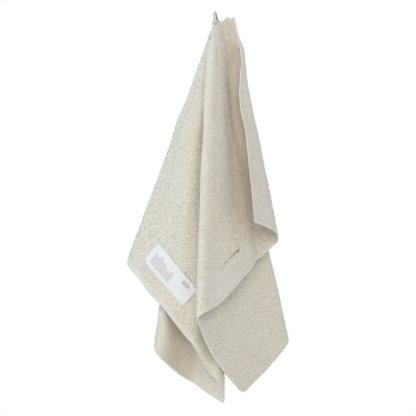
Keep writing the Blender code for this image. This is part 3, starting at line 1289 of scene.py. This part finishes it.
@dataclass
class YarnArches:
    """Sets one small arch of yarn on each point of a bed, standing the way the point says."""

    smallest: float = 0.75
    largest: float = 1.2

    def __post_init__(self) -> None:
        """Builds the tree once for all its uses."""
        self.made = self.tree()

    @staticmethod
    def arch(made: GeometryTree) -> bpy.types.NodeSocket:
        """One arch of yarn, upright over the origin.

        Args:
            made: The tree to build it in, with its inputs.

        Returns:
            The arch, whose points carry how high they are as "tip", 1 at the top.
        """
        height = made.value("Loop height")
        half_width = made.divide(made.value("Loop width"), 2)
        arc_inputs = {
            "Resolution": made.value("Bends"),
            "Radius": half_width,
            "Sweep Angle": math.pi,
        }
        arc = made.node("GeometryNodeCurveArc", arc_inputs, mode="RADIUS")
        stretch = made.divide(height, half_width)
        scale = made.node("ShaderNodeCombineXYZ", {0: 1.0, 1: stretch, 2: 1.0})
        upright_inputs = {
            "Geometry": arc.outputs["Curve"],
            "Rotation": (math.pi / 2, 0, 0),
            "Scale": scale.outputs[0],
        }
        upright = made.node("GeometryNodeTransform", upright_inputs)
        ring_inputs = {"Resolution": YARN_SIDES, "Radius": made.value("Yarn thickness")}
        ring = made.node("GeometryNodeCurvePrimitiveCircle", ring_inputs, mode="RADIUS")
        tube_inputs = {
            "Curve": upright.outputs[0],
            "Profile Curve": ring.outputs[0],
            "Fill Caps": True,
        }
        tube = made.node("GeometryNodeCurveToMesh", tube_inputs)
        where = made.node("GeometryNodeInputPosition", {})
        split = made.node("ShaderNodeSeparateXYZ", {0: where.outputs[0]})
        tip = made.divide(split.outputs[2], height)
        return made.store(tube.outputs[0], "tip", tip, "POINT")

    def tree(self) -> GeometryTree:
        """Builds the tree, which gives each arch a random size and a random "shade", 0 to 1.

        Returns:
            The tree, with its named inputs.
        """
        made = GeometryTree("yarn arches")
        for name in ("Loop height", "Loop width", "Yarn thickness", "Smallest", "Largest"):
            made.add_input(name)
        for name in ("Bends", "Seed"):
            made.add_input(name, "NodeSocketInt")
        made.add_input("Material", "NodeSocketMaterial")
        seed = made.value("Seed")
        turn = made.node(
            "FunctionNodeAxesToRotation",
            {"Primary Axis": made.named("stand"), "Secondary Axis": made.named("across")},
            primary_axis="Z",
            secondary_axis="X",
        )
        inputs = {
            "Points": made.value("Geometry"),
            "Instance": self.arch(made),
            "Rotation": turn.outputs[0],
            "Scale": made.random(made.value("Smallest"), made.value("Largest"), seed),
        }
        placed = made.node("GeometryNodeInstanceOnPoints", inputs).outputs[0]
        made.finish(made.store(placed, "shade", made.random(0.0, 1.0, seed), "INSTANCE"))
        return made

    def place(
        self,
        name: str,
        bed: bpy.types.Mesh,
        size: tuple[float, float, float],
        bends: int,
        material: bpy.types.Material,
        seed: int,
    ) -> bpy.types.Object:
        """Sets an arch on each point of a bed.

        Args:
            name: The new piece's name.
            bed: The points, each with its "stand" and "across" ways.
            size: The arches' height, width and yarn thickness, in metres.
            bends: How many points each arch has.
            material: The yarn's finish.
            seed: Which random sizes they get.

        Returns:
            The piece, riding on the towel's body.
        """
        height, width, yarn = size
        values = {
            "Loop height": height,
            "Loop width": width,
            "Yarn thickness": yarn / 2,
            "Smallest": self.smallest,
            "Largest": self.largest,
            "Bends": bends,
            "Seed": seed,
            "Material": material,
        }
        piece = self.made.make(name, bed, values)
        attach(piece, BODY)
        return piece


def point_bed(
    points: np.ndarray, stand: np.ndarray, across: np.ndarray, cloth: np.ndarray
) -> bpy.types.Mesh:
    """Points for arches of yarn.

    Args:
        points: Where they are.
        stand: Which way each arch stands up.
        across: Which way each arch spans.
        cloth: Each one's place on the flat towel, and its face.

    Returns:
        The points as a mesh that carries the rest as attributes.
    """
    mesh = bpy.data.meshes.new("bed")
    mesh.from_pydata(points.tolist(), [], [])
    set_attribute(mesh, "stand", unit(stand))
    set_attribute(mesh, "across", unit(across))
    set_attribute(mesh, "cloth", cloth)
    return mesh


def stitch_bed(rows: np.ndarray) -> bpy.types.Mesh:
    """Points for arches of thread, from a table of stitches."""
    return point_bed(rows[:, POINT], rows[:, NORMAL], rows[:, WAY], rows[:, CLOTH])


@dataclass
class TerryPile:
    """The loops of yarn that stand on both faces of the cloth."""

    towel: Towel
    arches: YarnArches
    loops_in_all: int = 56000
    height: float = 1.3 * MM
    width: float = 2.2 * MM
    yarn: float = 1.2 * MM
    lean: float = 0.15
    lean_size: float = 5 * MM
    stray: float = 0.22
    sink: float = 0.45 * MM
    fine_part: float = 0.85
    bends: int = 3
    seed: int = 11

    def bed(self, face: Face, half: int) -> bpy.types.Mesh:
        """Points for the loops of one face of one half of the towel.

        Args:
            face: Which face they stand on.
            half: -1 for the half with the label, 1 for the other.

        Returns:
            The points as a mesh, each with the way its loop stands and lies.
        """
        rng = np.random.default_rng(self.seed + 3 * face.value + half)
        towel = self.towel
        flat, points, normals = towel.flat, towel.faces[face], towel.normals * face.value
        right = flat[:-1, 1:] - flat[:-1, :-1]
        down = flat[1:, :-1] - flat[:-1, :-1]
        area = np.abs(right[..., 0] * down[..., 1] - right[..., 1] * down[..., 0])
        area = area * (np.sign(flat[:-1, :-1, 0]) == half)
        total = np.cumsum(area.ravel())
        spacing = towel.drape.length * towel.drape.width * 2 / self.loops_in_all
        picks = np.searchsorted(total, np.arange(spacing / 2, total[-1], spacing))
        i, j = np.unravel_index(picks, area.shape)
        s, t = rng.uniform(0, 1, (2, len(picks), 1))

        def within(values: np.ndarray) -> np.ndarray:
            """Reads a grid of values inside each picked cell.

            Args:
                values: The grid.

            Returns:
                A value for each picked cell.
            """
            near = values[i, j] * (1 - s) + values[i, j + 1] * s
            far = values[i + 1, j] * (1 - s) + values[i + 1, j + 1] * s
            return near * (1 - t) + far * t

        place = within(flat)
        keep = rng.uniform(0, 1, len(place)) < towel.pile_part(place, face)
        normal = unit(within(normals))
        across = unit(within(np.gradient(points, axis=1)))
        along = np.cross(normal, across)
        lean = self.lean * np.stack(
            [soft_noise(place, self.lean_size, self.seed + k) for k in (1, 2)], axis=-1
        ) + rng.normal(0, self.stray, (len(place), 2))
        stand = normal + lean[:, :1] * across + lean[:, 1:] * along
        turn = rng.uniform(0, math.pi, (len(place), 1))
        lie = np.cos(turn) * across + np.sin(turn) * along
        start = within(points) - normal * self.sink
        cloth = np.hstack((place, np.full((len(place), 1), float(face.value))))
        return point_bed(start[keep], stand[keep], lie[keep], cloth[keep])

    def build(self) -> list[bpy.types.Object]:
        """Makes the pile as four pieces, each face of each half of the towel.

        Returns:
            The pieces.
        """
        yarn = self.towel.finish.loops()
        pieces = []
        for face in Face:
            part = 1.0 if face is Face.COARSE else self.fine_part
            size = (self.height * part, self.width * part, self.yarn * part)
            for half, end in ((-1, "label_end"), (1, "plain_end")):
                name = f"{face.name.lower()}_pile_{end}"
                bed = self.bed(face, half)
                pile = self.arches.place(name, bed, size, self.bends, yarn, self.seed)
                pieces.append(pile)
        return pieces


@dataclass
class HemStitches:
    """The rows of stitches that hold the hems down, on both faces."""

    towel: Towel
    arches: YarnArches
    spacing: float = 4.2 * MM
    length: float = 3.0 * MM
    rise: float = 0.45 * MM
    thread: float = 0.55 * MM
    inset: float = 1.5 * MM
    gather_clear: float = 90 * MM
    side_reach: float = 12 * MM
    bends: int = 4
    seed: int = 3

    def line(self, inside: np.ndarray, table: np.ndarray) -> np.ndarray:
        """Follows the place where the cloth first comes inside its seam.

        Args:
            inside: How far inside the seam each point is, from the rim inwards by columns.
            table: A row of values at each point.

        Returns:
            The values along the seam.
        """
        after = np.argmax(inside >= 0, axis=0)
        crossed = np.flatnonzero(after)
        after = after[crossed]
        low, high = inside[after - 1, crossed], inside[after, crossed]
        part = (low / (low - high))[:, None]
        return table[after - 1, crossed] * (1 - part) + table[after, crossed] * part

    def lines(self, face: Face) -> list[np.ndarray]:
        """The seam round the rim, then those down the long edge on both sides of the loop.

        Args:
            face: Which face of the cloth they lie on.

        Returns:
            For each seam, a table of stitches without their way.
        """
        towel = self.towel
        side = np.full(towel.flat.shape[:2], float(face.value))
        table = np.dstack((towel.faces[face], towel.normals * face.value, towel.flat, side))
        inside = towel.inside_hems(towel.flat) + self.inset
        found = [self.line(inside[::-1], table[::-1])]
        for inwards in (slice(None), slice(None, None, -1)):
            seam = self.line(inside[:, inwards].T, table[:, inwards].transpose(1, 0, 2))
            clear = np.linalg.norm(seam[:, FLAT], axis=1) > self.gather_clear
            found.append(seam[clear & (seam[:, FLAT.stop - 1] < self.side_reach)])
        return found

    def build(self) -> bpy.types.Object:
        """Makes the stitches as one piece.

        Returns:
            The piece.
        """
        lines = [line for face in Face for line in self.lines(face)]
        bed = stitch_bed(np.concatenate([spaced_rows(line, self.spacing) for line in lines]))
        size = (self.rise, self.length, self.thread)
        thread = ThreadFinish().material("hem thread")
        stitches = self.arches.place("hem_stitches", bed, size, self.bends, thread, self.seed)
        return stitches


@dataclass
class HangingLoop:
    """The woven tape that a hook carries, sewn down in front of and behind the front fold."""

    arches: YarnArches
    thickness: float = 1.2 * MM
    steps: int = 161
    columns: int = 15
    top_knot: int = 4
    path: tuple[tuple[float, float, float, float, float], ...] = (
        (0.9, -11.3, -21, 6.0, -15),
        (0.5, -10.7, -15.5, 5.8, -15),
        (0.1, -8.3, -9, 5.0, -14),
        (0.0, -4.6, -3.4, 4.2, -8),
        (0.4, 0.0, 0.6, 3.6, 5),
        (1.7, 3.9, -3, 3.8, 25),
        (3.1, 5.2, -8.5, 4.2, 35),
        (4.2, 4.3, -14, 4.6, 30),
        (4.2, 3.1, -19, 5.2, 10),
        (3.4, 2.6, -24, 6.0, -10),
    )
    edge_thinning: float = 0.5
    edge_power: int = 6
    tack_rows: int = 5
    tack_pitch: float = 0.8 * MM
    tack_size: tuple[float, float, float] = (0.5 * MM, 4.6 * MM, 0.5 * MM)
    tack_bends: int = 6
    seed: int = 5

    def build(self) -> list[bpy.types.Object]:
        """Bends the tape along its path, twisted and narrower over the top, and tacks it down.

        Returns:
            The tape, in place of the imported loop, and its stitches.
        """
        table = np.array(self.path)
        knots = np.arange(len(table), dtype=float)
        places = np.linspace(0, knots[-1], self.steps)
        rows = curve_through(knots, table, np.gradient(table, axis=0), places)
        line, half_width, turn = rows[:, :3] * MM, rows[:, 3] * MM / 2, np.radians(rows[:, 4])
        way = np.column_stack((np.cos(turn), np.sin(turn), np.zeros(len(turn))))
        part = np.linspace(-1, 1, self.columns)[None, :, None]
        middle = line[:, None] + part * half_width[:, None, None] * way[:, None]
        normals = surface_normals(middle)
        half = self.thickness / 2 * (1 - self.edge_thinning * np.abs(part) ** self.edge_power)
        tape = thick_sheet("tape_loop", middle + normals * half, middle - normals * half)
        run = run_along(line)
        cloth = np.zeros((*middle.shape[:2], 3))
        cloth[..., 0] = run[:, None]
        cloth[..., 1] = part[..., 0] * half_width[:, None]
        set_attribute(tape.data, "cloth", np.concatenate((cloth, cloth)))
        over_top = np.interp(self.top_knot, places, run)
        tape.data.materials.append(TapeFinish().material(over_top))
        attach(tape, BODY)
        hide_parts("hanging_loop")
        return [tape, self.tack(line, way, normals[:, self.columns // 2])]

    def tack(self, line: np.ndarray, way: np.ndarray, normals: np.ndarray) -> bpy.types.Object:
        """Rows of thread across the front end of the tape.

        Args:
            line: The tape's middle line.
            way: The way across the tape at each point of it.
            normals: The way out of the tape's outer face.

        Returns:
            The stitches as a piece.
        """
        places = self.tack_pitch * (1 + np.arange(self.tack_rows))
        at = np.searchsorted(run_along(line), places)
        outer = normals[at] * np.sign(-normals[at, 1:2])
        points = line[at] + outer * self.thickness / 2
        bed = point_bed(points, outer, way[at], np.zeros((len(at), 3)))
        thread = ThreadFinish().material("tape thread")
        tack = self.arches.place(
            "loop_stitches", bed, self.tack_size, self.tack_bends, thread, self.seed
        )
        return tack


@dataclass
class Label:
    """The woven patch that is sewn to the front all round its edge."""

    towel: Towel
    arches: YarnArches
    thickness: float = 0.6 * MM
    lift: float = 2.0 * MM
    pucker: float = 0.35 * MM
    pucker_size: float = 9 * MM
    rows: int = 113
    columns: int = 41
    fit_margin: float = 3 * MM
    fit_across: int = 4
    fit_powers: int = 6
    seam_inset: float = 1.8 * MM
    stitch_spacing: float = 3.2 * MM
    stitch_size: tuple[float, float, float] = (0.35 * MM, 2.3 * MM, 0.4 * MM)
    stitch_bends: int = 4
    thread: ThreadFinish = ThreadFinish((0.84, 0.83, 0.80))
    seed: int = 9

    def __post_init__(self) -> None:
        """Takes the label's place and size from the towel."""
        self.middle = np.array(self.towel.label_middle)
        self.width, self.length = self.towel.label_size

    def build(self) -> list[bpy.types.Object]:
        """Lays the patch over the cloth, by the cloth's own surface under it, and sews it on.

        Returns:
            The patch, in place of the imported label, and its stitches.
        """
        u = np.linspace(self.width / 2, -self.width / 2, self.columns)
        v = np.linspace(-self.length / 2, self.length / 2, self.rows)
        local = np.stack(np.meshgrid(u, v), axis=-1)
        points, normals = self.surface(local)
        half = self.thickness / 2
        over = points + normals * (self.lift + half)
        under = points + normals * (self.lift - half)
        patch = thick_sheet("woven_label", over, under)
        places = np.dstack((local, np.zeros(local.shape[:2])))
        set_attribute(patch.data, "cloth", np.concatenate((places, places)))
        patch.data.materials.append(LabelFinish().material())
        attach(patch, BODY)
        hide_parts("label_patch")
        return [patch, self.stitches(over, normals, places)]

    def stitches(
        self, over: np.ndarray, normals: np.ndarray, places: np.ndarray
    ) -> bpy.types.Object:
        """A row of stitches just inside the patch's edge.

        Args:
            over: The points of the patch's outer face.
            normals: The way out of it.
            places: Each point's place on the patch.

        Returns:
            The stitches as a piece.
        """
        i = round(self.seam_inset / self.length * (self.rows - 1))
        j = round(self.seam_inset / self.width * (self.columns - 1))
        table = np.dstack((over, normals, places))[i : self.rows - i, j : self.columns - j]
        ring = np.concatenate(
            (table[0, :-1], table[:-1, -1], table[-1, :0:-1], table[::-1, 0])
        )
        bed = stitch_bed(spaced_rows(ring, self.stitch_spacing))
        thread = self.thread.material("label thread")
        stitched = self.arches.place(
            "label_stitches", bed, self.stitch_size, self.stitch_bends, thread, self.seed
        )
        return stitched

    def surface(self, local: np.ndarray) -> tuple[np.ndarray, np.ndarray]:
        """The cloth's middle surface under the patch, as a smooth sheet, a little puckered.

        Args:
            local: Places from the patch's middle, as rows by columns by 2.

        Returns:
            Points and unit normals of a smooth sheet fitted to the cloth there.
        """
        cloth = self.towel.flat.reshape(-1, 2) - self.middle
        reach = np.array((self.width, self.length)) / 2 + self.fit_margin
        near = (np.abs(cloth) < reach).all(axis=1)
        terms = self.terms(cloth[near])
        fit, *_ = np.linalg.lstsq(terms, self.towel.middle.reshape(-1, 3)[near], rcond=None)
        points = (self.terms(local.reshape(-1, 2)) @ fit).reshape(*local.shape[:2], 3)
        normals = surface_normals(points)
        pucker = self.pucker * soft_noise(local, self.pucker_size, self.seed)
        points += normals * pucker[..., None]
        return points, normals

    def terms(self, places: np.ndarray) -> np.ndarray:
        """The powers of each place that the smooth sheet is made of.

        Args:
            places: Places from the patch's middle, as rows.

        Returns:
            A row of powers for each.
        """
        u, v = places[:, 0] / self.width, places[:, 1] / self.length
        powers = [(i, j) for i in range(self.fit_across) for j in range(self.fit_powers - i)]
        return np.column_stack([u**i * v**j for i, j in powers])


@dataclass(frozen=True)
class Lamp:
    """One round soft light, aimed at the towel's middle.

    azimuth and elevation are where it hangs, in degrees from straight in front, power is in watts
    and size is its width in metres.
    """

    name: str
    azimuth: float
    elevation: float
    power: float
    size: float
    color: tuple[float, float, float]


@dataclass
class Studio:
    """The pale floor, the soft light and the camera at the photograph's angle."""

    eye: tuple[float, float, float] = (-0.0109, -2.997, -0.323)
    lens: float = 157.3
    sensor: float = 36
    clip: tuple[float, float] = (0.1, 50)
    aim: tuple[float, float, float] = (0, 0, -0.33)
    floor_drop: float = 0.9
    floor_radius: float = 1.9
    floor_sides: int = 96
    floor_color: tuple[float, float, float] = (0.92, 0.83, 0.73)
    floor_roughness: float = 0.9
    ambient: tuple[float, float, float] = (0.662, 0.772, 0.91)
    lamp_distance: float = 3.0
    lamps: tuple[Lamp, ...] = (
        Lamp("front light", 0, 20, 28.0, 1.4, (1.0, 0.90, 0.68)),
        Lamp("left light", -60, 20, 21.5, 0.5, (0.70, 0.86, 1.0)),
        Lamp("back light", 170, 35, 16.0, 1.4, (1.0, 0.84, 0.62)),
    )

    def camera(self) -> None:
        """Puts the camera in front of the towel, level with its middle."""
        data = bpy.data.cameras.new("camera")
        data.lens = self.lens
        data.sensor_width = self.sensor
        data.clip_start, data.clip_end = self.clip
        camera = bpy.data.objects.new("camera", data)
        camera.location = self.eye
        camera.rotation_euler = (math.pi / 2, 0, 0)
        bpy.context.scene.collection.objects.link(camera)
        bpy.context.scene.camera = camera

    def room(self) -> None:
        """A room that looks white and lights the towel softly, a little cool, from all round."""
        world = bpy.data.worlds.new("white room")
        world.use_nodes = True
        tree = world.node_tree
        seen = tree.nodes.new("ShaderNodeLightPath").outputs["Is Camera Ray"]
        mix = tree.nodes.new("ShaderNodeMix")
        mix.data_type = "RGBA"
        for socket, value in zip(MIX_SOCKETS, (seen, (*self.ambient, 1), (1, 1, 1, 1))):
            feed(tree, mix.inputs[socket], value)
        tree.links.new(mix.outputs[2], tree.nodes["Background"].inputs["Color"])
        bpy.context.scene.world = world
        bpy.context.scene.view_settings.view_transform = "Standard"

    def light(self, lamp: Lamp) -> None:
        """Hangs one soft light.

        Args:
            lamp: The light.
        """
        data = bpy.data.lights.new(lamp.name, "AREA")
        data.shape, data.size, data.energy = "DISK", lamp.size, lamp.power
        data.color = lamp.color
        light = bpy.data.objects.new(lamp.name, data)
        azimuth, elevation = math.radians(lamp.azimuth), math.radians(lamp.elevation)
        level = math.cos(elevation)
        away = Vector((math.sin(azimuth) * level, -math.cos(azimuth) * level, math.sin(elevation)))
        light.location = Vector(self.aim) + away * self.lamp_distance
        light.rotation_euler = (-away).to_track_quat("-Z", "Y").to_euler()
        bpy.context.scene.collection.objects.link(light)

    def floor(self) -> None:
        """A plain pale floor, well below the towel."""
        count = self.floor_sides
        turn = np.linspace(0, 2 * math.pi, count, endpoint=False)
        ring = np.column_stack((np.cos(turn), np.sin(turn), np.zeros(count))) * self.floor_radius
        ring[:, 2] = -self.floor_drop
        mesh = bpy.data.meshes.new("floor")
        mesh.from_pydata(ring.tolist(), [], [list(range(count))])
        floor = link_object("floor", mesh)
        shader = Shader("pale floor", self.floor_color, self.floor_roughness)
        mesh.materials.append(shader.material)

    def build(self) -> None:
        """Sets up the camera, the light and the floor."""
        self.camera()
        self.room()
        for lamp in self.lamps:
            self.light(lamp)
        self.floor()


def report(piece: bpy.types.Object) -> None:
    """Logs a finished piece and its size.

    Args:
        piece: The piece.
    """
    mesh = piece.data
    triangles = sum(len(face.vertices) - 2 for face in mesh.polygons)
    LOG.info("%s: %d triangles", piece.name, triangles)


def main() -> None:
    """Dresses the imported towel, piece by piece."""
    logging.basicConfig(level=logging.INFO, format="%(name)s: %(message)s")
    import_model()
    Studio().build()
    towel = Towel(Drape())
    cloth = towel.build()
    report(cloth)
    arches = YarnArches()
    pile = TerryPile(towel, arches).build()
    stitches = HemStitches(towel, arches).build()
    loop, tack = HangingLoop(arches).build()
    pieces = [*pile, stitches, *Label(towel, arches).build()]
    for piece in (*pieces, loop, tack):
        report(piece)


if __name__ == "__main__":
    main()
